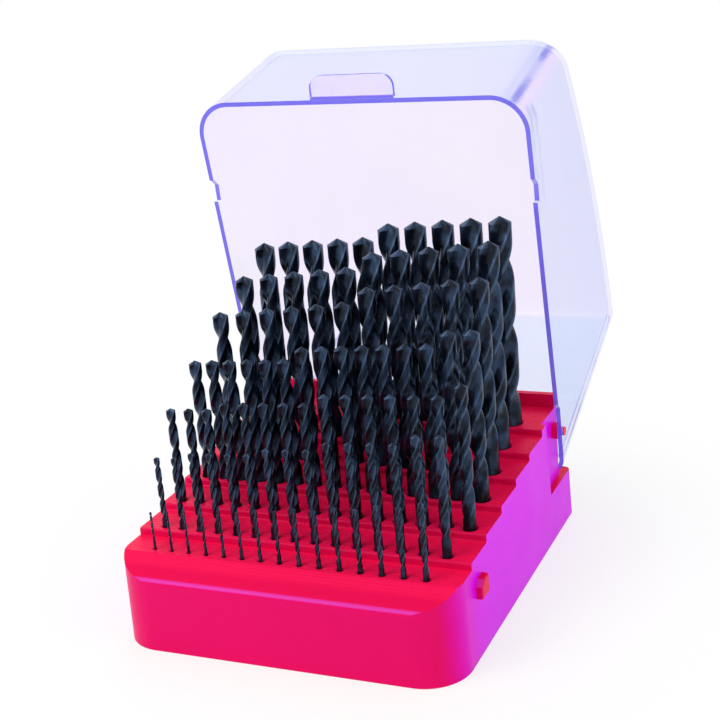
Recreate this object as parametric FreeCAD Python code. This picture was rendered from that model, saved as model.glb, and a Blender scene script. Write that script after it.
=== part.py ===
"""Drill bit case: a stepped socket base, a clear hinged lid and 91 twist drills.

The frame is X to the right along the rows, Y to the back and Z up, in
millimetres. The origin lies on the underside, under the middle of the base.
The lid is shaped in its closed place and then swung up to its open stop.
Tables that end in shares give places as parts of the size that they follow.
"""
import os
from math import cos, radians, sin, tan

import FreeCAD
import Part
from FreeCAD import Vector

# Base: outside sizes
base_width = 148.0
base_depth = 166.0
base_front_height = 31.5
base_wall = 2.4
base_side_draft = 1.4
front_corner_radius = 18.0
rear_corner_radius = 3.0
front_edge_radius = 2.5
deck_thickness = 2.4
nose_radius = 0.8
cut_overrun = 5.0

# Base: block behind the rows, and the ledge round it
block_back_setback = 9.0
back_wall_height = 62.0
back_wall_thickness = 3.0
ledge_height = 22.0
side_recess = 3.6
side_recess_length = 33.0

# Base: treads, front to back
first_row_setback = 15.6
row_spacing = 20.9
row_spacing_shares = [0.708, 0.938, 1.005, 1.01, 0.995, 0.981]
first_deck_height = 37.7
deck_rise = 3.0
nose_margin = 1.5

# Rows of sockets: counts and the share of the base's width that each row spans
row_counts = [15, 15, 15, 15, 11, 10, 10]
row_span_shares = [0.81, 0.865, 0.912, 0.895, 0.865, 0.841, 0.831]
smallest_drill = 1.0
drill_step = 0.1

# Sockets
socket_clearance = 0.1
socket_floor_gap = 0.3
socket_wall = 1.4
socket_floor = 1.6
socket_lead_in = 0.6
rib_thickness = 1.6
rib_foot = 6.0

# Drills: how many sizes share a length, and the shares of the longest drill
longest_drill = 133.0
length_counts = [1, 1, 2, 2, 2, 2, 2, 2, 3, 4, 3, 4, 5, 5, 6, 7, 7, 8, 10, 10, 5]
overall_shares = [0.256, 0.271, 0.286, 0.301, 0.323, 0.346, 0.368, 0.398, 0.429, 0.459, 0.489,
                  0.526, 0.564, 0.602, 0.647, 0.699, 0.759, 0.82, 0.88, 0.94, 1.0]
flute_shares = [0.09, 0.105, 0.12, 0.135, 0.15, 0.165, 0.18, 0.203, 0.226, 0.248, 0.271,
                0.293, 0.323, 0.353, 0.391, 0.429, 0.474, 0.519, 0.564, 0.609, 0.654]
first_exposure_shares = [0.485, 0.546, 0.561, 0.573, 0.603, 0.627, 0.643]
last_exposure_shares = [0.565, 0.667, 0.652, 0.665, 0.724, 0.73, 0.705]
point_angle = 118.0
lead_share = 5.9
web_share = 0.42
flute_angle = 106.0
run_out_share = 1.2
section_turn_share = 0.067
drills_per_group = 5
grouped_rows = 4
parts_per_unit = 10

# Lid, in its closed place
lid_wall = 2.0
lid_side_clearance = 0.3
lid_side_draft = 0.86
lid_front_rim_height = 25.0
lid_front_overhang = 7.0
lid_rear_overhang = 2.0
lid_front_lean = -11.0
lid_front_height = 89.0
lid_crown_height = 150.5
lid_kink_height = 158.5
lid_tail_height = 51.5
lid_crown_share = 0.66
lid_kink_share = 0.842
lid_corner_radius = 16.0
lid_roof_edge_radius = 7.0
open_angle = 85.5

# Hinge
pin_setback = 15.0
pin_height = 46.0
pin_diameter = 4.0
pin_clearance = 0.06
pin_overlap = 0.4
boss_diameter = 7.6
ear_margin = 2.4
ear_reach = 16.0
ear_drop = 2.4

# Finger tab and side catches
tab_width = 38.0
tab_reach = 11.0
tab_wall = 2.0
catch_place = -50.0
catch_length = 8.0
catch_height = 7.5
catch_foot = 24.5
catch_slope = 2.5
catch_proud = 2.0
notch_front_gap = 0.7
notch_rear_gap = 1.5
notch_top_gap = 0.3
notch_slope = 3.0

# Shares that tell edges apart by where they lie and which way they run
along_share = 0.9
near_share = 0.1

# Sizes that follow
half_width = base_width / 2
base_front = -base_depth / 2
base_back = base_depth / 2
block_back = base_back - block_back_setback
pin_place = base_back - pin_setback
pin_radius = pin_diameter / 2
ear_radius = pin_radius + ear_margin
lid_outer_half = half_width + lid_side_clearance + lid_wall
row_total = len(row_counts)
row_places = [base_front + first_row_setback]
for spacing_share in row_spacing_shares:
    row_places.append(row_places[-1] + row_spacing * spacing_share)
row_heights = [first_deck_height + deck_rise * row for row in range(row_total)]


def drill_number(row, place):
    """Running number of a drill, counted from the smallest."""
    return sum(row_counts[:row]) + place


def diameter_at(row, place):
    """Diameter of the drill at a place in a row."""
    return smallest_drill + drill_step * drill_number(row, place)


def length_group(number):
    """Which line of the length tables holds a drill."""
    total = 0
    for group, count in enumerate(length_counts):
        total += count
        if number < total:
            return group
    return len(length_counts) - 1


def socket_x(row, place):
    """Place of a socket's axis along its row, with equal gaps between the drills."""
    widths = [diameter_at(row, other) for other in range(row_counts[row])]
    span = base_width * row_span_shares[row]
    gap = (span - sum(widths)) / (len(widths) - 1)
    return -span / 2 + sum(widths[:place]) + gap * place + widths[place] / 2


def drill_length(row, place):
    """Overall length of a drill."""
    return longest_drill * overall_shares[length_group(drill_number(row, place))]


def exposure(row, place):
    """Length of a drill that stands above its tread."""
    share = place / (row_counts[row] - 1)
    first = first_exposure_shares[row]
    shown_share = first + (last_exposure_shares[row] - first) * share
    return drill_length(row, place) * shown_share


def pocket_depth(row, place):
    """Depth of a drill's foot below its tread."""
    return drill_length(row, place) - exposure(row, place)


def drill_places():
    """Every row and place of a drill, front to back and left to right."""
    return [(row, place) for row in range(row_total) for place in range(row_counts[row])]


def plate_along_x(points, left, right):
    """Solid between two X places, from an outline of (Y, Z) points."""
    ring = [Vector(left, y, z) for y, z in points]
    return Part.Face(Part.makePolygon(ring + ring[:1])).extrude(Vector(right - left, 0, 0))


def plate_along_y(points, front, back):
    """Solid between two Y places, from an outline of (X, Z) points."""
    ring = [Vector(x, front, z) for x, z in points]
    return Part.Face(Part.makePolygon(ring + ring[:1])).extrude(Vector(0, back - front, 0))


def edges_where(shape, test):
    """Edges of a shape whose middle point and direction pass a test."""
    found = []
    for edge in shape.Edges:
        if len(edge.Vertexes) != 2:
            continue
        start, end = edge.Vertexes[0].Point, edge.Vertexes[1].Point
        if test((start + end) * 0.5, (end - start).normalize()):
            found.append(edge)
    return found


def draft_section(foot, draft, low, high):
    """Front outline that narrows upwards by a draft angle."""
    shrink_low = low * tan(radians(draft))
    shrink_high = high * tan(radians(draft))
    return [(shrink_low - foot, low), (foot - shrink_low, low),
            (foot - shrink_high, high), (shrink_high - foot, high)]


def tread_fronts():
    """Y places of the front noses of the treads."""
    fronts = []
    for row, place in enumerate(row_places):
        largest = diameter_at(row, row_counts[row] - 1)
        fronts.append(place - largest / 2 - socket_lead_in - nose_margin)
    return fronts


def steps_outline(drop, front):
    """Side outline of the steps, from the front wall up to the last tread."""
    fronts = tread_fronts()
    points = [(front, base_front_height - drop), (fronts[0], row_heights[0] - drop)]
    for row in range(1, row_total):
        points.append((fronts[row] + drop, row_heights[row - 1] - drop))
        points.append((fronts[row] + drop, row_heights[row] - drop))
    return points


def base_outer():
    """Outside of the base: steps, back wall, ledge and rounded corners."""
    outline = steps_outline(0, base_front)
    outline += [(block_back - back_wall_thickness, row_heights[-1]),
                (block_back - back_wall_thickness, back_wall_height),
                (block_back, back_wall_height), (block_back, ledge_height),
                (base_back, ledge_height), (base_back, 0), (base_front, 0)]
    body = plate_along_x(outline, -half_width, half_width)
    fronts = tread_fronts()

    def is_nose(middle, way):
        reach = nose_margin * near_share
        on_front = any(abs(middle.y - front) < reach for front in fronts[1:])
        on_top = any(abs(middle.z - height) < reach for height in row_heights[1:])
        return abs(way.x) > along_share and on_front and on_top

    def is_front_top(middle, way):
        at_front = middle.y < base_front + nose_margin * near_share
        return abs(way.x) > along_share and at_front and middle.z > ledge_height

    body = body.makeFillet(nose_radius, edges_where(body, is_nose))
    body = body.makeFillet(front_edge_radius, edges_where(body, is_front_top))
    section = draft_section(half_width, base_side_draft, 0, back_wall_height + cut_overrun)
    plan = plate_along_y(section, base_front, base_back)

    def is_front_corner(middle, way):
        return abs(way.z) > along_share and middle.y < 0

    def is_rear_corner(middle, way):
        return abs(way.z) > along_share and middle.y > 0

    plan = plan.makeFillet(front_corner_radius, edges_where(plan, is_front_corner))
    plan = plan.makeFillet(rear_corner_radius, edges_where(plan, is_rear_corner))
    return body.common(plan)


def base_cavity():
    """Space under the treads, open at the underside."""
    front = base_front + base_wall
    back = block_back - back_wall_thickness
    outline = steps_outline(deck_thickness, front)
    outline += [(back, row_heights[-1] - deck_thickness), (back, -cut_overrun), (front, -cut_overrun)]
    body = plate_along_x(outline, -half_width, half_width)
    inner_half = half_width - base_wall
    section = draft_section(inner_half, base_side_draft, -cut_overrun, back_wall_height)
    plan = plate_along_y(section, front, base_back)

    def is_front_corner(middle, way):
        return abs(way.z) > along_share and middle.y < 0

    rounded = plan.makeFillet(front_corner_radius - base_wall, edges_where(plan, is_front_corner))
    body = body.common(rounded)
    for side in (-1, 1):
        body = body.cut(recess_block(side, base_wall))
    return body


def recess_block(side, grow):
    """Block beside the rear of the base that sets its side wall back above the ledge."""
    inner = half_width - side_recess - grow
    outer = half_width + cut_overrun
    low = ledge_height - grow
    left = inner if side > 0 else -outer
    front = base_back - side_recess_length - grow
    depth = side_recess_length + grow + cut_overrun
    height = back_wall_height + cut_overrun - low
    return Part.makeBox(outer - inner, depth, height, Vector(left, front, low))


def socket_tubes():
    """Round tubes that hang under the treads and hold the shanks."""
    tubes = []
    for row, place in drill_places():
        depth = pocket_depth(row, place) + socket_floor_gap + socket_floor
        radius = diameter_at(row, place) / 2 + socket_clearance + socket_wall
        top = row_heights[row] - deck_thickness / 2
        foot = row_heights[row] - depth
        start = Vector(socket_x(row, place), row_places[row], foot)
        tubes.append(Part.makeCylinder(radius, top - foot, start))
    return tubes


def row_ribs():
    """One rib under each tread that ties its tubes and the side walls together."""
    ribs = []
    inner_half = half_width - base_wall / 2
    for row, place in enumerate(row_places):
        top = row_heights[row] - deck_thickness / 2
        section = draft_section(inner_half - side_recess, base_side_draft, rib_foot, top)
        ribs.append(plate_along_y(section, place - rib_thickness / 2, place + rib_thickness / 2))
    return ribs


def socket_bores():
    """Blind bores with a countersunk mouth, one for each drill."""
    bores = []
    for row, place in drill_places():
        radius = diameter_at(row, place) / 2 + socket_clearance
        depth = pocket_depth(row, place) + socket_floor_gap
        mouth = radius + socket_lead_in
        outline = [(0, -depth), (radius, -depth), (radius, -socket_lead_in), (mouth, 0),
                   (mouth, cut_overrun), (0, cut_overrun)]
        ring = [Vector(x, 0, z) for x, z in outline]
        bore = Part.Face(Part.makePolygon(ring + ring[:1])).revolve(Vector(0, 0, 0), Vector(0, 0, 1), 360)
        bore.translate(Vector(socket_x(row, place), row_places[row], row_heights[row]))
        bores.append(bore)
    return bores


def hinge_pin(side):
    """Stub pin with its boss, on a side wall of the block."""
    wall = half_width - side_recess
    inside = wall - base_wall / 2
    lid_outer = lid_outer_half - (pin_height + boss_diameter / 2) * tan(radians(lid_side_draft))
    boss_end = lid_outer - lid_wall - lid_side_clearance
    tip = lid_outer + pin_overlap
    way = Vector(side, 0, 0)
    start = Vector(side * inside, pin_place, pin_height)
    boss = Part.makeCylinder(boss_diameter / 2, boss_end - inside, start, way)
    return boss.fuse(Part.makeCylinder(pin_radius, tip - inside, start, way))


def side_catch(side):
    """Catch on a side wall, sloped where the notch of the lid slides over it."""
    front = catch_place - catch_length / 2
    back = catch_place + catch_length / 2
    top = catch_foot + catch_height
    outline = [(front, catch_foot), (back, catch_foot), (back, top), (front + catch_slope, top),
               (front, top - catch_slope)]
    root = half_width - base_wall
    tip = half_width + catch_proud
    catch = plate_along_x(outline, root, tip) if side > 0 else plate_along_x(outline, -tip, -root)

    def is_outer(middle, way):
        return abs(middle.x) > tip - catch_proud * near_share

    return catch.makeChamfer(catch_proud / 4, edges_where(catch, is_outer))


def make_base():
    """The red moulding: walls, treads, sockets, pins and catches."""
    body = base_outer()
    for side in (-1, 1):
        body = body.cut(recess_block(side, 0))
    cavity = base_cavity()
    spine_start = Vector(-rib_thickness / 2, base_front, 0)
    spine = Part.makeBox(rib_thickness, base_depth, back_wall_height, spine_start)
    body = body.cut(cavity)
    body = body.multiFuse(socket_tubes() + row_ribs() + [cavity.common(spine)])
    for side in (-1, 1):
        body = body.multiFuse([hinge_pin(side), side_catch(side)])
    return body.cut(Part.makeCompound(socket_bores())).removeSplitter()


def lid_front():
    """Y place of the lid's front wall at the rim."""
    return base_front - lid_front_overhang


def lid_rear():
    """Y place of the lid's rear edge."""
    return base_back + lid_rear_overhang


def lid_outline():
    """Side outline of the closed lid: rim, front wall, crowned roof and rear wall."""
    depth = lid_rear() - lid_front()
    low = lid_front_rim_height - cut_overrun
    crown = lid_front() + depth * lid_crown_share
    kink = lid_front() + depth * lid_kink_share
    return [(lid_front(), low), (lid_front() + lid_front_lean, lid_front_height), (crown, lid_crown_height),
            (kink, lid_kink_height), (lid_rear(), lid_tail_height), (lid_rear(), low)]


def lid_block(inset):
    """Block of the closed lid's outside, or of its inside, set in by the wall."""
    front, roof_front, crown, kink, rear, foot = [Vector(0, y, z) for y, z in lid_outline()]
    edges = [Part.LineSegment(front, roof_front).toShape(), Part.Arc(roof_front, crown, kink).toShape(),
             Part.LineSegment(kink, rear).toShape(), Part.LineSegment(rear, foot).toShape(),
             Part.LineSegment(foot, front).toShape()]
    wire = Part.Wire(edges)
    if inset:
        wire = wire.makeOffset2D(-inset, 2)
    profile = Part.Face(wire).extrude(Vector(base_width + base_depth, 0, 0))
    profile.translate(Vector(-(base_width + base_depth) / 2, 0, 0))
    span = draft_section(lid_outer_half - inset, lid_side_draft, 0, lid_kink_height + cut_overrun)
    reach = abs(lid_front_lean) + cut_overrun
    body = profile.common(plate_along_y(span, lid_front() - reach, lid_rear() + reach))

    def is_front_corner(middle, way):
        return abs(way.z) > along_share and middle.y < base_front * along_share

    def is_upper(middle, way):
        return middle.z > lid_front_height * along_share and abs(way.z) < along_share

    def is_rear_corner(middle, way):
        return abs(way.z) > along_share and middle.y > 0 and middle.z > lid_tail_height

    body = body.makeFillet(lid_corner_radius - inset, edges_where(body, is_front_corner))
    upper = edges_where(body, is_upper) + edges_where(body, is_rear_corner)
    return body.makeFillet(lid_roof_edge_radius - inset, upper)


def rim_cut():
    """Everything below the closed lid's rim, with the step at the ears."""
    step = pin_place - ear_reach
    ear_low = pin_height - ear_radius
    low = lid_front_rim_height - 2 * cut_overrun
    far_front = lid_front() - cut_overrun - tab_reach
    rise = (ear_low - ear_drop - lid_front_rim_height) / (step - lid_front())
    front_height = lid_front_rim_height + rise * (far_front - lid_front())
    far_rear = lid_rear() + cut_overrun
    points = [(far_front, low), (far_front, front_height), (step, ear_low - ear_drop),
              (step + ear_drop, ear_low), (far_rear, ear_low), (far_rear, low)]
    return plate_along_x(points, -base_width, base_width)


def catch_notch(side):
    """Notch in a side's rim that drops over the catch."""
    front = catch_place - catch_length / 2 - notch_front_gap
    back = catch_place + catch_length / 2 + notch_rear_gap
    high = catch_foot + catch_height + notch_top_gap
    low = lid_front_rim_height - cut_overrun
    outline = [(front, low), (back, low), (back, high), (front + notch_slope, high),
               (front, high - notch_slope)]
    start = half_width - catch_proud
    stop = lid_outer_half + cut_overrun
    return plate_along_x(outline, start, stop) if side > 0 else plate_along_x(outline, -stop, -start)


def finger_tab():
    """Tab that stands out from the front rim, with rounded ends."""
    front = lid_front() - tab_reach
    block = Part.makeBox(tab_width, tab_reach + lid_wall / 2, tab_wall,
                         Vector(-tab_width / 2, front, lid_front_rim_height))

    def is_end(middle, way):
        return abs(way.z) > along_share and middle.y < lid_front() - tab_reach / 2

    return block.makeFillet(tab_reach / 2, edges_where(block, is_end))


def tail_gap():
    """Cut that ends the rear wall above the block, between the ears."""
    width = base_width - lid_wall
    height = lid_tail_height - lid_front_rim_height + cut_overrun
    return Part.makeBox(width, base_depth / 4, height,
                        Vector(-width / 2, block_back, lid_front_rim_height - cut_overrun))


def make_lid():
    """The clear moulding, swung up to its open stop."""
    shell = lid_block(0).cut(rim_cut())
    shell = shell.fuse(finger_tab()).cut(lid_block(lid_wall))
    shell = shell.cut(tail_gap())
    for side in (-1, 1):
        shell = shell.cut(catch_notch(side))
    reach = base_width + 2 * cut_overrun
    bore = Part.makeCylinder(pin_radius + pin_clearance, reach, Vector(-reach / 2, pin_place, pin_height),
                             Vector(1, 0, 0))
    shell = shell.cut(bore).removeSplitter()
    shell.rotate(Vector(0, pin_place, pin_height), Vector(1, 0, 0), -open_angle)
    return shell


def drill_ring(radius, turn, fill, height, scale_share=1.0):
    """Closed wire across a drill: two lands and two flutes, all arcs.

    fill is 0 where the flutes are full and 1 where the shank is round.
    """
    rim = radius * scale_share
    web = rim * (web_share + (1 - web_share) * fill)
    edges = []
    for half in (0, 180):
        reaches = [(rim, 0), (web, flute_angle / 2), (rim, flute_angle),
                   (rim, 90 + flute_angle / 2), (rim, 180)]
        points = []
        for reach, angle in reaches:
            way = radians(turn + half + angle)
            points.append(Vector(reach * cos(way), reach * sin(way), height))
        edges.append(Part.Arc(points[0], points[1], points[2]).toShape())
        edges.append(Part.Arc(points[2], points[3], points[4]).toShape())
    return Part.Wire(edges)


def make_drill(row, place):
    """One twist drill in its socket, shank down and point up."""
    radius = diameter_at(row, place) / 2
    length = drill_length(row, place)
    flute = longest_drill * flute_shares[length_group(drill_number(row, place))]
    start = length - flute
    lead = 2 * radius * lead_share
    point = radius / tan(radians(point_angle / 2))
    twisted = flute - point
    run_out = 2 * radius * run_out_share
    steps = max(4, round(twisted / (lead * section_turn_share)))
    rings = []
    for step in range(steps + 1):
        rise = twisted * step / steps
        fill = max(0.0, 1 - rise / run_out)
        rings.append(drill_ring(radius, 360 * rise / lead, fill ** 2, start + rise))
    foot = drill_ring(radius, 0, 1, 0)
    web_tip = web_share / 2
    tip = drill_ring(radius, 360 * twisted / lead, 0, length - point * web_tip, web_tip)
    faces = Part.makeLoft([foot, rings[0]], False, True).Faces
    faces += Part.makeLoft(rings, False, True).Faces
    faces += Part.makeLoft([rings[-1], tip], False, True).Faces
    faces += [Part.Face(foot), Part.Face(tip)]
    shell = Part.makeShell(faces)
    shell.sewShape()
    drill = Part.makeSolid(shell)
    if drill.Volume < 0:
        drill.reverse()
    floor = row_heights[row] - pocket_depth(row, place)
    drill.translate(Vector(socket_x(row, place), row_places[row], floor))
    return drill


def size_name(row, place):
    """Text that names a drill by its size, counted in tenths from the smallest."""
    tenths = parts_per_unit + drill_number(row, place)
    return f"{tenths // parts_per_unit}_{tenths % parts_per_unit}"


def write_drills():
    """Write the small drills in groups and the large ones by themselves."""
    for row in range(row_total):
        grouped = row < grouped_rows
        size = drills_per_group if grouped else 1
        for first in range(0, row_counts[row], size):
            drills = [make_drill(row, place) for place in range(first, first + size)]
            if size == 1:
                drills[0].exportStep(f"parts/drill_{size_name(row, first)}.step")
            else:
                name = f"drills_{size_name(row, first)}_to_{size_name(row, first + size - 1)}"
                Part.makeCompound(drills).exportStep(f"parts/{name}.step")


def main():
    """Write one file for each piece or group of pieces."""
    os.makedirs("parts", exist_ok=True)
    make_base().exportStep("parts/socket_base.step")
    make_lid().exportStep("parts/clear_lid.step")
    write_drills()


if __name__ == "__main__":
    main()
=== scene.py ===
"""Looks of the drill bit case: glossy red base, clear lid and black twist drills."""
import logging
import math
from dataclasses import dataclass
from enum import Enum

import bpy
from mathutils import Matrix, Vector

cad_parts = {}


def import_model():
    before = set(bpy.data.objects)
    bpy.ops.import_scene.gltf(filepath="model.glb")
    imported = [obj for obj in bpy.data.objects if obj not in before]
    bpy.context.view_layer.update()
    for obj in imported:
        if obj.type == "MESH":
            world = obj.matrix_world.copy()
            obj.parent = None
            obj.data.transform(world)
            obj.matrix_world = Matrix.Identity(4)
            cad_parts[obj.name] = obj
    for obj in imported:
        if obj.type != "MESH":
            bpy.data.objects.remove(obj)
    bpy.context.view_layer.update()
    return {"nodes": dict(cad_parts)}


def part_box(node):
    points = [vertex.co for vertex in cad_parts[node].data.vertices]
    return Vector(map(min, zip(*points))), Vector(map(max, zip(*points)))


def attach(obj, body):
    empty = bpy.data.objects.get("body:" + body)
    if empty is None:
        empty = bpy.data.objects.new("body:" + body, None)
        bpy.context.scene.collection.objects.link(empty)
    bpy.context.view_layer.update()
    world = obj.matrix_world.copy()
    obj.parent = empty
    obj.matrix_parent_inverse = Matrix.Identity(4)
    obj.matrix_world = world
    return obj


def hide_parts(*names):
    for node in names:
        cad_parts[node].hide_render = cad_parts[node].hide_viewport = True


LOG = logging.getLogger("drill_bit_case")
Colour = tuple[float, float, float]
Point = tuple[float, float, float]
Span = tuple[float, float]

WHITE: Colour = (1.0, 1.0, 1.0)
LEVEL_TOLERANCE = 1e-6


class Slot(Enum):
    """Material slots of the record."""

    RED = "red_plastic"
    CLEAR = "clear_plastic"
    STEEL = "black_steel"


class Link:
    """A shader socket that takes part in Python expressions."""

    def __init__(self, graph: "Graph", socket: bpy.types.NodeSocket) -> None:
        """Wraps one output socket.

        Args:
            graph: the graph that the socket's node is in.
            socket: the output socket.
        """
        self.graph = graph
        self.socket = socket

    def _math(self, operation: str, *values: "Link | float") -> "Link":
        """Adds a Math node that works on these values."""
        settings = {"operation": operation}
        return self.graph.node("ShaderNodeMath", settings, dict(enumerate(values)))

    def __add__(self, other: "Link | float") -> "Link":
        """Sum."""
        return self._math("ADD", self, other)

    __radd__ = __add__

    def __sub__(self, other: "Link | float") -> "Link":
        """Difference."""
        return self._math("SUBTRACT", self, other)

    def __rsub__(self, other: float) -> "Link":
        """Difference from a number."""
        return self._math("SUBTRACT", other, self)

    def __mul__(self, other: "Link | float") -> "Link":
        """Product."""
        return self._math("MULTIPLY", self, other)

    def __pow__(self, other: float) -> "Link":
        """Power."""
        return self._math("POWER", self, other)

    def absolute(self) -> "Link":
        """Size without its sign."""
        return self._math("ABSOLUTE", self)

    def step(self, low: float, high: float) -> "Link":
        """Smooth step from 0 to 1.

        Args:
            low: value at which the step leaves 0.
            high: value at which it reaches 1.

        Returns:
            The step as a Link.
        """
        settings = {"interpolation_type": "SMOOTHSTEP"}
        values = {"Value": self, "From Min": low, "From Max": high}
        return self.graph.node("ShaderNodeMapRange", settings, values)

    def band(self, rise: Span, fall: Span) -> "Link":
        """Smooth step up from 0 to 1 and down again.

        Args:
            rise: low and high end of the step up.
            fall: low and high end of the step down.

        Returns:
            The band as a Link.
        """
        return self.step(*rise) * (1.0 - self.step(*fall))


class Graph:
    """A node tree whose nodes are added by one method."""

    def __init__(self, tree: bpy.types.NodeTree, output: str) -> None:
        """Empties the tree, down to an output node.

        Args:
            tree: node tree of a material or of the world.
            output: type of its output node.
        """
        self.tree = tree
        self.tree.nodes.clear()
        self.output = self.tree.nodes.new(output)

    def node(self, kind: str, settings: dict, values: dict, output: int | str = 0) -> Link:
        """Adds a node, with its settings first and then its sockets.

        Args:
            kind: the node's type.
            settings: properties of the node.
            values: socket name or number to a value or a Link.
            output: which output to return.

        Returns:
            The chosen output as a Link.
        """
        made = self.tree.nodes.new(kind)
        for key, value in settings.items():
            setattr(made, key, value)
        for key, value in values.items():
            self.feed(made.inputs[key], value)
        return Link(self, made.outputs[output])

    def feed(self, socket: bpy.types.NodeSocket, value: "Link | float | tuple") -> None:
        """Links or sets one input socket."""
        if isinstance(value, Link):
            self.tree.links.new(value.socket, socket)
        else:
            socket.default_value = value

    def show(self, surface: Link) -> None:
        """Links a surface to the output, in place of an earlier one."""
        self.feed(self.output.inputs["Surface"], surface)

    def seen_ray(self) -> Link:
        """1 on rays from the camera, and on those that glossy and clear surfaces send."""
        seen = self.node("ShaderNodeLightPath", {}, {}, "Is Camera Ray")
        outputs = seen.socket.node.outputs
        for name in ("Is Glossy Ray", "Is Transmission Ray"):
            seen = seen + Link(self, outputs[name])
        return seen.step(0.0, 1.0)


class Shader(Graph):
    """A material with a Principled shader."""

    def __init__(self, name: str) -> None:
        """Makes the material.

        Args:
            name: the material's name.
        """
        self.material = bpy.data.materials.new(name)
        self.material.use_nodes = True
        super().__init__(self.material.node_tree, "ShaderNodeOutputMaterial")
        self.surface = self.tree.nodes.new("ShaderNodeBsdfPrincipled")
        self.show(self.principled())

    def principled(self) -> Link:
        """Output of the Principled shader."""
        return Link(self, self.surface.outputs[0])

    def set(self, **sockets: "Link | float | tuple") -> None:
        """Feeds sockets of the Principled shader; an underscore stands for a space."""
        for name, value in sockets.items():
            self.feed(self.surface.inputs[name.replace("_", " ")], value)

    def place(self) -> Link:
        """Object coordinates."""
        return self.node("ShaderNodeTexCoord", {}, {}, "Object")

    def facing(self) -> Link:
        """The surface's normal, fixed to the object."""
        return self.node("ShaderNodeTexCoord", {}, {}, "Normal")

    def split(self, vector: Link) -> tuple[Link, Link, Link]:
        """The three parts of a vector."""
        first = self.node("ShaderNodeSeparateXYZ", {}, {0: vector})
        outputs = first.socket.node.outputs
        return first, Link(self, outputs[1]), Link(self, outputs[2])

    def noise(self, vector: Link, scale: float, detail: float = 2.0) -> Link:
        """Smooth noise from 0 to 1."""
        values = {"Vector": vector, "Scale": scale, "Detail": detail}
        return self.node("ShaderNodeTexNoise", {}, values)

    def mix(self, mask: "Link | float", low: "Link | Colour", high: "Link | Colour",
            blend: str = "MIX") -> Link:
        """Blend of two colours by a mask.

        Args:
            mask: 0 for the first colour to 1 for the second.
            low: first colour.
            high: second colour.
            blend: how the second colour lies on the first.

        Returns:
            The colour as a Link.
        """
        ends = [value if isinstance(value, Link) else (*value, 1) for value in (low, high)]
        settings = {"data_type": "RGBA", "blend_type": blend}
        return self.node("ShaderNodeMix", settings, {0: mask, 6: ends[0], 7: ends[1]}, 2)

    def bump(self, height: Link, strength: float, distance: float) -> Link:
        """Normal that follows a height."""
        values = {"Height": height, "Strength": strength, "Distance": distance}
        return self.node("ShaderNodeBump", {}, values)

    def toward(self, vector: Link, way: Point) -> Link:
        """How far a place lies, or a normal points, along a direction."""
        settings = {"operation": "DOT_PRODUCT"}
        return self.node("ShaderNodeVectorMath", settings, {0: vector, 1: way}, "Value")


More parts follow.
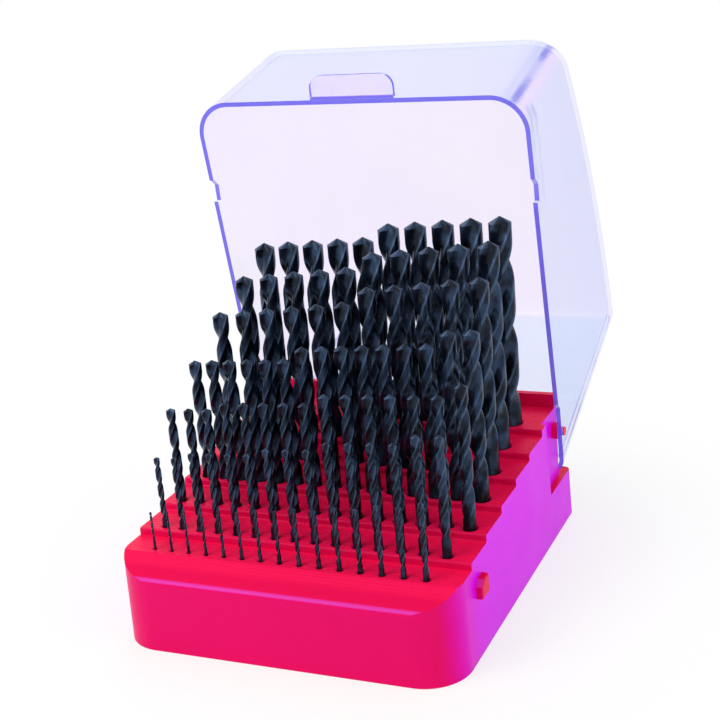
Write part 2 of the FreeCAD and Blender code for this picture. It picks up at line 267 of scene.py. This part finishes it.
@dataclass(frozen=True)
class RedPlastic:
    """Glossy moulded red plastic; painted reflection of violet light turns its hue pink on the
    front and magenta down its sides, and painted light, shade and a highlight brighten the
    deck, darken the risers and line the front's top edge.

    A turn is a span of the normal, and a fade is a span of places in metres.
    """

    top: Colour = (0.82, 0.001, 0.055)
    # deck: brighter red than the top, painted light on the stepped deck
    deck: Colour = (1.0, 0.006, 0.085)
    # front, side and side_front: painted reflection of violet light, pink on the front and
    # magenta down the sides
    front: Colour = (0.80, 0.001, 0.13)
    side: Colour = (0.76, 0.001, 0.90)
    side_front: Colour = (0.80, 0.001, 0.30)
    # riser: darker red, painted shade on the risers
    riser: Colour = (0.78, 0.003, 0.09)
    # painted highlight along the front's top edge
    edge_highlight: Colour = (0.72, 0.06, 0.62)
    cloud: Colour = (0.72, 0.62, 0.8)
    front_turn: Span = (0.2, 0.9)
    side_turn: Span = (0.55, 1.0)
    side_fade: Span = (-0.085, -0.045)
    highlight_rise: Span = (0.45, 0.65)
    highlight_fall: Span = (0.8, 0.95)
    highlight_lean: Span = (0.3, 0.5)
    highlight_share: float = 0.55
    deck_fade: Span = (0.034, 0.036)
    wall_fade: Span = (0.0743, 0.0747)
    wall_draft: float = 1.4
    cloud_scale: float = 14.0
    cloud_step: Span = (0.3, 0.7)
    cloud_share: float = 0.16
    tread_pitch: float = 0.0015
    tread_turn: Span = (0.8, 1.0)
    tread_height: float = 0.5
    grain_scale: float = 900.0
    grain_detail: float = 3.0
    grain_height: float = 0.12
    bump_strength: float = 0.35
    bump_depth: float = 0.0004
    rough_scale: float = 60.0
    rough_low: float = 0.24
    rough_more: float = 0.16
    refraction: float = 1.46
    specular: float = 0.08

    def build(self) -> bpy.types.Material:
        """Makes the material.

        Returns:
            The material.
        """
        shader = Shader(Slot.RED.value)
        place = shader.place()
        normal = shader.facing()
        deck_mask = shader.split(place)[2].step(*self.deck_fade)
        colour = self.colour(shader, place, normal, deck_mask)
        grain = shader.noise(place, self.grain_scale, self.grain_detail) * self.grain_height
        relief = self.treads(shader, place, normal) * deck_mask * self.tread_height + grain
        rough = self.rough_low + shader.noise(place, self.rough_scale) * self.rough_more
        shader.set(Base_Color=colour, Roughness=rough, IOR=self.refraction,
                   Specular_IOR_Level=self.specular,
                   Normal=shader.bump(relief, self.bump_strength, self.bump_depth))
        return shader.material

    def colour(self, shader: Shader, place: Link, normal: Link, deck_mask: Link) -> Link:
        """Colour of the base, with its hue turned by place and by normal: painted reflection,
        light, shade and highlight.

        Args:
            shader: the material's shader.
            place: object coordinates.
            normal: the surface's normal.
            deck_mask: 1 on the stepped deck and above.

        Returns:
            The colour as a Link.
        """
        across, along, up = shader.split(place)
        sideways, rearward, upward = shader.split(normal)
        frontward = rearward * -1.0
        # painted light and shade: the deck brighter than the top, the risers darker than the
        # deck
        flat = shader.mix(deck_mask, self.top, self.deck)
        upright = shader.mix(deck_mask, self.front, self.riser)
        # painted reflection: pinker on faces that look forward
        colour = shader.mix(frontward.step(*self.front_turn), flat, upright)
        # painted highlight along the front's top edge, off the deck
        painted_highlight = frontward.band(self.highlight_rise, self.highlight_fall) * upward.step(*self.highlight_lean)
        painted_highlight = painted_highlight * (1.0 - deck_mask) * self.highlight_share
        colour = shader.mix(painted_highlight, colour, self.edge_highlight)
        # painted reflection of violet light: magenta down the side walls, pinker towards the
        # front
        reach = across.absolute() + up * math.tan(math.radians(self.wall_draft))
        on_wall = 1.0 - reach.step(*self.wall_fade)
        side = shader.mix(along.step(*self.side_fade), self.side_front, self.side)
        colour = shader.mix(sideways.absolute().step(*self.side_turn) * on_wall, colour, side)
        cloud = shader.noise(place, self.cloud_scale).step(*self.cloud_step)
        shade = shader.mix(cloud * self.cloud_share, WHITE, self.cloud)
        return shader.mix(1.0, colour, shade, "MULTIPLY")

    def treads(self, shader: Shader, place: Link, normal: Link) -> Link:
        """Fine cross lines on faces that look up."""
        wave = shader.split(place)[1] * (2 * math.pi / self.tread_pitch)
        lines = shader.node("ShaderNodeMath", {"operation": "SINE"}, {0: wave})
        return lines * shader.split(normal)[2].step(*self.tread_turn)


@dataclass(frozen=True)
class ClearPlastic:
    """Clear moulded plastic, pale lavender, with deep blue cut edges; painted shade makes the
    right wall and roof bluer and darkens grazing angles, the silhouette and the bends, and a
    painted blue glow deepens the tint.

    A turn is a span of the normal, a fade is a span of places in metres, and a cover is a
    part of the alpha. The rim way is the direction out of the lid's open front.
    """

    wall: Colour = (0.80, 0.52, 1.0)
    # side and top: bluer right wall and roof, painted shade
    side: Colour = (0.30, 0.52, 0.90)
    top: Colour = (0.16, 0.30, 0.88)
    # grazing_shade and outline: painted shade towards grazing angles and at the silhouette
    grazing_shade: Colour = (0.36, 0.36, 0.90)
    outline: Colour = (0.22, 0.20, 0.70)
    edge: Colour = (0.075, 0.085, 0.62)
    # glow and side_glow: painted blue glow, emission on a lid that is no lamp, to deepen its
    # tint
    glow: Colour = (0.25, 0.08, 1.0)
    side_glow: Colour = (0.0, 0.02, 0.25)
    glow_strength: float = 0.22
    grazing_shade_share: float = 0.6
    outline_share: float = 0.7
    bend_shade_share: float = 0.8
    wall_cover: float = 0.11
    haze_cover: float = 0.03
    top_cover: float = 0.02
    grazing_cover: float = 0.22
    outline_cover: float = 0.22
    bend_shade_cover: float = 0.55
    edge_cover: float = 0.93
    side_turn: Span = (0.8, 0.98)
    side_fade: Span = (-0.02, 0.07)
    top_turn: Span = (0.5, 0.9)
    slant_blend: float = 0.35
    grazing_power: float = 3.0
    grazing_shade_step: Span = (0.05, 0.7)
    outline_step: Span = (0.72, 0.97)
    haze_scale: float = 9.0
    haze_step: Span = (0.3, 0.75)
    haze_bump: float = 0.12
    haze_depth: float = 0.002
    rough_scale: float = 55.0
    rough_detail: float = 4.0
    rough_low: float = 0.05
    rough_more: float = 0.07
    refraction: float = 1.49
    rim_way: Point = (0.0, -0.9842, -0.1773)
    rim_fade: Span = (-0.0875, -0.0715)
    rim_turn: Span = (0.55, 0.9)
    tab_height: Span = (0.2036, 0.2040)
    tab_reach: Span = (-0.0743, -0.0737)
    tab_width: Span = (0.0195, 0.0200)
    tab_turn: Span = (0.3, 0.7)
    tab_rear_turn: Span = (0.3, 0.6)
    top_line_rise: Span = (0.48, 0.60)
    top_line_fall: Span = (0.64, 0.76)
    top_line_lean: Span = (0.2, 0.5)
    rear_line_rise: Span = (0.35, 0.5)
    rear_line_fall: Span = (0.6, 0.8)
    rear_line_lean: Span = (0.3, 0.5)
    rear_line_fade: Span = (0.035, 0.055)
    wall_line_rise: Span = (-0.0835, -0.0805)
    wall_line_fall: Span = (-0.0795, -0.0765)
    wall_line_turn: Span = (0.8, 0.95)
    wall_line_fade: Span = (0.05, 0.06)
    wall_line_height: Span = (0.14, 0.19)
    wall_line_share: float = 0.7
    uneven_scale: float = 38.0
    uneven_detail: float = 3.0
    uneven_step: Span = (0.35, 0.6)
    uneven_low: float = 0.25

    def build(self) -> bpy.types.Material:
        """Makes the material.

        Returns:
            The material.
        """
        shader = Shader(Slot.CLEAR.value)
        place = shader.place()
        normal = shader.facing()
        haze = shader.noise(place, self.haze_scale).step(*self.haze_step)
        edges = self.cut_edges(shader, place, normal)
        # painted shade along the bends of the lid
        bend_shade = self.painted_bend_shade(shader, place, normal)
        # painted shade: darker blue and denser towards grazing angles and at the silhouette
        weight = {"Blend": self.slant_blend}
        slant = shader.node("ShaderNodeLayerWeight", {}, weight, "Facing")
        grazing = slant ** self.grazing_power
        silhouette = slant.step(*self.outline_step)
        # painted shade: the right wall and the roof bluer than the front
        sideways, _, upward = shader.split(normal)
        on_side = sideways.absolute().step(*self.side_turn)
        on_side = on_side * shader.split(place)[0].step(*self.side_fade)
        on_top = upward.absolute().step(*self.top_turn)
        layers = ((on_side, self.side), (on_top, self.top),
                  (grazing.step(*self.grazing_shade_step) * self.grazing_shade_share, self.grazing_shade),
                  (silhouette * self.outline_share, self.outline),
                  (bend_shade * self.bend_shade_share, self.edge), (edges, self.edge))
        colour = self.wall
        for mask, tint in layers:
            colour = shader.mix(mask, colour, tint)
        cover = self.wall_cover + haze * self.haze_cover
        # more alpha on the roof, towards grazing angles, at the silhouette and along the bends:
        # part of the painted shade
        for mask, share in ((on_top, self.top_cover), (grazing, self.grazing_cover),
                            (silhouette, self.outline_cover), (bend_shade, self.bend_shade_cover)):
            cover = cover + mask * share
        cover = cover * (1.0 - edges) + edges * self.edge_cover
        rough = shader.noise(place, self.rough_scale, self.rough_detail) * self.rough_more
        shader.set(Base_Color=colour, Alpha=cover, Roughness=self.rough_low + rough,
                   IOR=self.refraction,
                   # painted glow: the lid emits blue light that deepens its tint, dimmer on the
                   # right wall and roof
                   Emission_Color=shader.mix(on_side + on_top, self.glow, self.side_glow),
                   Emission_Strength=self.glow_strength,
                   Normal=shader.bump(haze, self.haze_bump, self.haze_depth))
        return shader.material

    def cut_edges(self, shader: Shader, place: Link, normal: Link) -> Link:
        """1 on the end faces of the walls at the rim, and on the outline of the finger tab.

        Args:
            shader: the material's shader.
            place: object coordinates.
            normal: the surface's normal.

        Returns:
            The mask as a Link.
        """
        across, _, up = shader.split(place)
        sideways, rearward, upward = shader.split(normal)
        reach = shader.toward(place, self.rim_way)
        on_tab = up.step(*self.tab_height) * reach.step(*self.tab_reach)
        ends = shader.toward(normal, self.rim_way).step(*self.rim_turn)
        ends = ends * reach.step(*self.rim_fade) * (1.0 - on_tab)
        in_tab = 1.0 - across.absolute().step(*self.tab_width)
        outline = (sideways.absolute() + upward).step(*self.tab_turn) * on_tab * in_tab
        return ends + outline * (1.0 - rearward.step(*self.tab_rear_turn))

    def painted_bend_shade(self, shader: Shader, place: Link, normal: Link) -> Link:
        """Painted shade: uneven dark lines along the rounded corners of the lid's top and right
        wall, where the bends refract the light.

        Args:
            shader: the material's shader.
            place: object coordinates.
            normal: the surface's normal.

        Returns:
            The mask as a Link.
        """
        across, _, up = shader.split(place)
        sideways, rearward, upward = shader.split(normal)
        bend = sideways.absolute()
        reach = shader.toward(place, self.rim_way)
        top_line = bend.band(self.top_line_rise, self.top_line_fall)
        top_line = top_line * upward.step(*self.top_line_lean)
        rear_line = rearward.band(self.rear_line_rise, self.rear_line_fall)
        rear_line = rear_line * upward.step(*self.rear_line_lean)
        rear_line = rear_line * across.step(*self.rear_line_fade)
        wall_line = reach.band(self.wall_line_rise, self.wall_line_fall)
        wall_line = wall_line * bend.step(*self.wall_line_turn) * self.wall_line_share
        wall_line = wall_line * across.step(*self.wall_line_fade)
        wall_line = wall_line * up.step(*self.wall_line_height)
        uneven = shader.noise(place, self.uneven_scale, self.uneven_detail)
        uneven = uneven.step(*self.uneven_step) * (1.0 - self.uneven_low) + self.uneven_low
        return (top_line + rear_line + wall_line) * uneven


@dataclass(frozen=True)
class BlackSteel:
    """Black oxide over ground steel, a little blue where it shines, with a painted blue
    highlight along the flute margins.
    """

    dark: Colour = (0.008, 0.011, 0.018)
    light: Colour = (0.026, 0.048, 0.095)
    # margin_highlight: colour of the painted highlight on the flute margins
    margin_highlight: Colour = (0.075, 0.13, 0.24)
    metallic: float = 0.85
    cloud_scale: float = 160.0
    cloud_detail: float = 4.0
    cloud_step: Span = (0.35, 0.7)
    speck_scale: float = 1400.0
    speck_bump: float = 0.12
    speck_depth: float = 0.0001
    margin_low: float = 0.35
    margin_more: float = 0.5
    rough_low: float = 0.24
    rough_more: float = 0.10

    def build(self) -> bpy.types.Material:
        """Makes the material.

        Returns:
            The material.
        """
        shader = Shader(Slot.STEEL.value)
        place = shader.place()
        cloud = shader.noise(place, self.cloud_scale, self.cloud_detail)
        speck = shader.noise(place, self.speck_scale)
        # painted highlight: lighter blue along the flute margins, broken by fine specks
        margin_highlight_mask = shader.node("ShaderNodeAttribute", {"attribute_name": "margin_highlight"}, {}, "Fac")
        margin_highlight_mask = margin_highlight_mask * (self.margin_low + speck * self.margin_more)
        colour = shader.mix(cloud.step(*self.cloud_step), self.dark, self.light)
        shader.set(Base_Color=shader.mix(margin_highlight_mask, colour, self.margin_highlight), Metallic=self.metallic,
                   Roughness=self.rough_low + cloud * self.rough_more,
                   Normal=shader.bump(speck, self.speck_bump, self.speck_depth))
        return shader.material


def deselect() -> None:
    """Returns to object mode with nothing selected."""
    if bpy.context.mode != "OBJECT":
        bpy.ops.object.mode_set(mode="OBJECT")
    bpy.ops.object.select_all(action="DESELECT")


def dress(piece: bpy.types.Object, material: bpy.types.Material) -> None:
    """Gives a piece one material on every face.

    Args:
        piece: a mesh object.
        material: its finish.
    """
    piece.data.materials.clear()
    piece.data.materials.append(material)


@dataclass(frozen=True)
class Fineness:
    """How many parts a drill's mesh has."""

    sides: int
    steps_per_turn: int


@dataclass(frozen=True)
class TwistDrill:
    """One twist drill: round shank, two helical flutes and a ground point.

    Lengths are in metres and angles in degrees. The lead and the run-out are shares of the
    diameter; the other shares are of the radius.
    """

    diameter: float
    foot: Vector
    length: float
    flute: float
    fit_share: float = 0.995
    lead_share: float = 5.9
    run_out_share: float = 1.3
    web_share: float = 0.42
    flute_angle: float = 106.0
    flute_power: float = 0.6
    margin_angle: float = 17.2
    margin_fill: float = 0.4
    point_angle: float = 118.0
    chisel_share: float = 0.06
    bevel_share: float = 0.18
    tip_turn: float = 61.5
    smooth_angle: float = 30.0
    thick: float = 0.004
    fine: Fineness = Fineness(32, 26)
    plain: Fineness = Fineness(20, 18)
    fewest_steps: int = 12

    def build(self) -> bpy.types.Object:
        """Models the drill at its place.

        Returns:
            The finished object.
        """
        radius = self.diameter / 2 * self.fit_share
        point = radius / math.tan(math.radians(self.point_angle / 2))
        twisted = self.flute - point
        start = self.length - self.flute
        fineness = self.fine if self.diameter > self.thick else self.plain
        turns = twisted / (self.diameter * self.lead_share)
        deselect()
        bpy.ops.mesh.primitive_circle_add(vertices=fineness.sides, radius=radius,
                                          fill_type="NOTHING", location=(0, 0, 0))
        piece = bpy.context.object
        steps = max(self.fewest_steps, round(turns * fineness.steps_per_turn))
        self._sweep(piece, twisted, steps)
        self._cut_flutes(piece, radius, twisted, start)
        self._close_ends(piece, radius, point, start)
        piece.data.transform(Matrix.Translation(self.foot))
        return piece

    def _sweep(self, piece: bpy.types.Object, height: float, steps: int) -> None:
        """Sweeps the circle up into a column of rings."""
        screw = piece.modifiers.new("flutes", "SCREW")
        screw.angle = 0.0
        screw.screw_offset = height
        screw.steps = steps
        screw.render_steps = steps
        screw.use_smooth_shade = True
        bpy.ops.object.modifier_apply(modifier=screw.name)

    def _cut_flutes(self, piece: bpy.types.Object, radius: float, twisted: float,
                    start: float) -> None:
        """Draws the flutes in, turns them up the column and fades them at the shank.

        Args:
            piece: the column of rings.
            radius: its radius.
            twisted: its height.
            start: height of the shank under it.
        """
        half_angle = math.radians(self.flute_angle / 2)
        margin_angle = math.radians(self.margin_angle)
        lead = self.diameter * self.lead_share
        run_out = self.diameter * self.run_out_share
        first_turn = math.radians(self.tip_turn) - 2 * math.pi * twisted / lead
        # marks the margins beside the flutes, where the steel's painted highlight goes
        margin_highlight = piece.data.attributes.new("margin_highlight", "FLOAT", "POINT")
        for vertex in piece.data.vertices:
            height = vertex.co.z
            turn = math.atan2(vertex.co.y, vertex.co.x)
            fill = max(0.0, 1 - height / run_out) ** 2
            web = self.web_share + (1 - self.web_share) * fill
            off = abs((turn - half_angle + math.pi / 2) % math.pi - math.pi / 2)
            depth = 0.0
            if off < half_angle:
                depth = max(0.0, math.cos(off / half_angle * math.pi / 2))
            near = depth == 0.0 and abs(off - half_angle) < margin_angle
            margin_highlight.data[vertex.index].value = float(near and fill < self.margin_fill)
            reach = radius * (1 - (1 - web) * depth ** self.flute_power)
            turn += first_turn + 2 * math.pi * height / lead
            vertex.co = Vector((reach * math.cos(turn), reach * math.sin(turn), start + height))

    def _close_ends(self, piece: bpy.types.Object, radius: float, point: float,
                    start: float) -> None:
        """Extrudes the shank down and the point up, and closes both.

        Args:
            piece: the fluted column.
            radius: its radius.
            point: height of a full cone on it.
            start: height of the shank under it.
        """
        top = max(vertex.co.z for vertex in piece.data.vertices)
        bevel = radius * self.bevel_share
        bpy.ops.object.mode_set(mode="EDIT")
        bpy.ops.mesh.select_mode(type="VERT")
        self._select_level(piece, top)
        self._extrude(point * (1 - self.chisel_share))
        self._close(self.chisel_share, top)
        self._select_level(piece, start)
        self._extrude(bevel - start)
        self._extrude(-bevel)
        self._close(1 - self.bevel_share, 0.0)
        bpy.ops.mesh.select_all(action="SELECT")
        bpy.ops.mesh.normals_make_consistent(inside=False)
        bpy.ops.object.mode_set(mode="OBJECT")
        bpy.ops.object.shade_smooth_by_angle(angle=math.radians(self.smooth_angle))

    @staticmethod
    def _extrude(height: float) -> None:
        """Extrudes the selected ring up, or down if the height is below 0."""
        bpy.ops.mesh.extrude_region_move(TRANSFORM_OT_translate={"value": (0, 0, height)})

    @staticmethod
    def _close(share: float, height: float) -> None:
        """Draws the selected ring in to a share of its width, and closes it with a face."""
        bpy.ops.transform.resize(value=(share, share, 1), center_override=(0, 0, height))
        bpy.ops.mesh.edge_face_add()

    @staticmethod
    def _select_level(piece: bpy.types.Object, height: float) -> None:
        """Selects the vertices at one height."""
        bpy.ops.mesh.select_all(action="DESELECT")
        bpy.ops.object.mode_set(mode="OBJECT")
        for vertex in piece.data.vertices:
            vertex.select = abs(vertex.co.z - height) < LEVEL_TOLERANCE
        bpy.ops.object.mode_set(mode="EDIT")


@dataclass(frozen=True)
class DrillSet:
    """All the drills in their sockets, front row first.

    The two tables give lengths in millimetres, for as many drills each as the length counts
    say. The first rows are in groups, each of which is one solid of the record.
    """

    base_width: float = 0.148
    first_diameter: float = 0.001
    diameter_step: float = 0.0001
    row_counts: tuple[int, ...] = (15, 15, 15, 15, 11, 10, 10)
    span_shares: tuple[float, ...] = (0.81, 0.865, 0.912, 0.895, 0.865, 0.841, 0.831)
    length_counts: tuple[int, ...] = (
        1, 1, 2, 2, 2, 2, 2, 2, 3, 4, 3, 4, 5, 5, 6, 7, 7, 8, 10, 10, 5)
    overall: tuple[float, ...] = (
        34, 36, 38, 40, 43, 46, 49, 53, 57, 61, 65, 70, 75, 80, 86, 93, 101, 109, 117, 125, 133)
    fluted: tuple[float, ...] = (
        12, 14, 16, 18, 20, 22, 24, 27, 30, 33, 36, 39, 43, 47, 52, 57, 63, 69, 75, 81, 87)
    group: int = 5
    grouped_rows: int = 4
    foot_reach: float = 0.6

    def build(self, material: bpy.types.Material) -> None:
        """Models every drill and sets it in place of its solid.

        Args:
            material: finish of the drills.
        """
        number = 0
        for row, count in enumerate(self.row_counts):
            size = self.group if row < self.grouped_rows else 1
            for first in range(0, count, size):
                node = self.node_name(number, size)
                piece = self.join([self.one_drill(row, first + step, number + step, node)
                                   for step in range(size)])
                piece.name = f"twist_{node}"
                dress(piece, material)
                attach(piece, node)
                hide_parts(node)
                number += size
            LOG.info("row %d: %d drills", row + 1, count)

    def node_name(self, number: int, size: int) -> str:
        """Name of a solid of the record.

        Args:
            number: number of its first drill from the smallest.
            size: how many drills it has.

        Returns:
            The name.
        """
        if size == 1:
            return f"drill_{self.label(number)}"
        return f"drills_{self.label(number)}_to_{self.label(number + size - 1)}"

    def label(self, number: int) -> str:
        """Diameter of a drill in millimetres, with an underscore for the point."""
        whole, tenths = divmod(round(self.diameter(number) / self.diameter_step), 10)
        return f"{whole}_{tenths}"

    def diameter(self, number: int) -> float:
        """Diameter of a drill in metres."""
        return self.first_diameter + self.diameter_step * number

    def from_table(self, table: tuple[float, ...], number: int) -> float:
        """A length of a drill in metres, from a table in millimetres.

        Args:
            table: one length for each line of the length counts.
            number: the drill's number from the smallest.

        Returns:
            The length.
        """
        total = 0
        for count, value in zip(self.length_counts, table):
            total += count
            if number < total:
                return value / 1000
        return table[-1] / 1000

    def place_in_row(self, row: int, place: int) -> float:
        """X place of a drill, with equal gaps between the drills of a row.

        Args:
            row: number of the row from the front.
            place: the drill's place from the left.

        Returns:
            The X place in metres.
        """
        before = sum(self.row_counts[:row])
        widths = [self.diameter(before + other) for other in range(self.row_counts[row])]
        span = self.base_width * self.span_shares[row]
        gap = (span - sum(widths)) / (len(widths) - 1)
        return -span / 2 + sum(widths[:place]) + gap * place + widths[place] / 2

    def one_drill(self, row: int, place: int, number: int, node: str) -> bpy.types.Object:
        """Models one drill where its solid stands.

        Args:
            row: number of the row from the front.
            place: the drill's place from the left.
            number: the drill's number from the smallest.
            node: name of its solid.

        Returns:
            The finished object.
        """
        across = self.place_in_row(row, place)
        low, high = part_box(node)
        foot = Vector((across, (low.y + high.y) / 2, self.foot_height(node, across, number)))
        return TwistDrill(self.diameter(number), foot, self.from_table(self.overall, number),
                          self.from_table(self.fluted, number)).build()

    def foot_height(self, node: str, across: float, number: int) -> float:
        """Lowest height of the solid near one X place."""
        reach = self.diameter(number) * self.foot_reach
        vertices = bpy.data.objects[node].data.vertices
        return min(vertex.co.z for vertex in vertices if abs(vertex.co.x - across) < reach)

    @staticmethod
    def join(made: list[bpy.types.Object]) -> bpy.types.Object:
        """Joins drills into one piece."""
        deselect()
        for piece in made:
            piece.select_set(True)
        bpy.context.view_layer.objects.active = made[0]
        if len(made) > 1:
            bpy.ops.object.join()
        return made[0]


@dataclass(frozen=True)
class Lamp:
    """A soft square lamp: where it stands, its width in metres and its power in watts."""

    name: str
    place: Point
    size: float
    power: float

    def build(self, target: Point) -> None:
        """Adds the lamp.

        Args:
            target: the place that it is aimed at.
        """
        data = bpy.data.lights.new(self.name, "AREA")
        data.size = self.size
        data.energy = self.power
        lamp = bpy.data.objects.new(self.name, data)
        bpy.context.scene.collection.objects.link(lamp)
        aim = (Vector(target) - Vector(self.place)).to_track_quat("-Z", "Y")
        lamp.matrix_world = Matrix.Translation(self.place) @ aim.to_matrix().to_4x4()


@dataclass(frozen=True)
class Studio:
    """Pale floor, soft lamps and the camera."""

    target: Point = (0.00888, 0.0, 0.09966)
    distance: float = 0.5897
    azimuth: float = 24.54
    elevation: float = 18.24
    roll: float = -5.21
    lens: float = 70.76
    sensor_width: float = 36.0
    nearest: float = 0.01
    lamps: tuple[Lamp, ...] = (Lamp("key", (-0.55, -0.75, 0.95), 0.7, 8.0),
                               Lamp("fill", (0.95, -0.15, 0.75), 0.6, 3.5),
                               Lamp("back", (-0.3, 0.8, 0.9), 0.7, 3.0))
    floor_size: float = 6.0
    floor_height: float = -0.0002
    floor_light: Colour = (0.95, 0.95, 0.95)
    floor_dark: Colour = (0.9, 0.9, 0.91)
    floor_scale: float = 30.0
    floor_grain: float = 0.02
    floor_rough: float = 0.9
    white_reach: Span = (0.10, 0.24)
    white_low: float = 0.7
    sky_low: float = 0.55

    def build(self) -> None:
        """Builds the surroundings."""
        self.floor()
        self.world()
        for lamp in self.lamps:
            lamp.build(self.target)
        self.camera()
        bpy.context.scene.view_settings.view_transform = "Standard"

    def floor(self) -> None:
        """Adds the pale floor, which is pure white to the eye away from the case."""
        deselect()
        bpy.ops.mesh.primitive_plane_add(size=self.floor_size,
                                         location=(0, 0, self.floor_height))
        floor = bpy.context.object
        floor.name = "floor"
        shader = Shader("pale_floor")
        place = shader.place()
        grain = shader.noise(place, self.floor_scale) * self.floor_grain
        shader.set(Base_Color=shader.mix(grain, self.floor_light, self.floor_dark),
                   Roughness=self.floor_rough, Specular_IOR_Level=0.0)
        away = shader.node("ShaderNodeVectorMath", {"operation": "LENGTH"}, {0: place}, "Value")
        white = away.step(*self.white_reach) * (1.0 - self.white_low) + self.white_low
        glow = shader.node("ShaderNodeEmission", {}, {"Color": (*WHITE, 1), "Strength": 1.0})
        layers = {0: white * shader.seen_ray(), 1: shader.principled(), 2: glow}
        shader.show(shader.node("ShaderNodeMixShader", {}, layers))
        dress(floor, shader.material)

    def world(self) -> None:
        """Makes the world white to the eye, and softer as a light."""
        world = bpy.data.worlds.new("studio")
        bpy.context.scene.world = world
        world.use_nodes = True
        graph = Graph(world.node_tree, "ShaderNodeOutputWorld")
        strength = graph.seen_ray() * (1.0 - self.sky_low) + self.sky_low
        values = {"Color": (*WHITE, 1), "Strength": strength}
        graph.show(graph.node("ShaderNodeBackground", {}, values))

    def camera(self) -> None:
        """Adds the camera at the photograph's angle."""
        azimuth = math.radians(self.azimuth)
        elevation = math.radians(self.elevation)
        roll = math.radians(self.roll)
        level = math.cos(elevation)
        back = Vector((math.sin(azimuth) * level, -math.cos(azimuth) * level,
                       math.sin(elevation)))
        right = (-back).cross(Vector((0, 0, 1))).normalized()
        above = right.cross(-back)
        turned = right * math.cos(roll) + above * math.sin(roll)
        up = above * math.cos(roll) - right * math.sin(roll)
        matrix = Matrix((turned, up, back)).transposed().to_4x4()
        matrix.translation = Vector(self.target) + back * self.distance
        data = bpy.data.cameras.new("camera")
        data.lens = self.lens
        data.sensor_width = self.sensor_width
        data.clip_start = self.nearest
        camera = bpy.data.objects.new("camera", data)
        camera.matrix_world = matrix
        bpy.context.scene.collection.objects.link(camera)
        bpy.context.scene.camera = camera


def main() -> None:
    """Builds the case and its surroundings."""
    logging.basicConfig(level=logging.INFO, format="%(message)s")
    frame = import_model()
    dress(frame["nodes"]["socket_base"], RedPlastic().build())
    dress(frame["nodes"]["clear_lid"], ClearPlastic().build())
    LOG.info("base and lid dressed")
    DrillSet().build(BlackSteel().build())
    Studio().build()


if __name__ == "__main__":
    main()
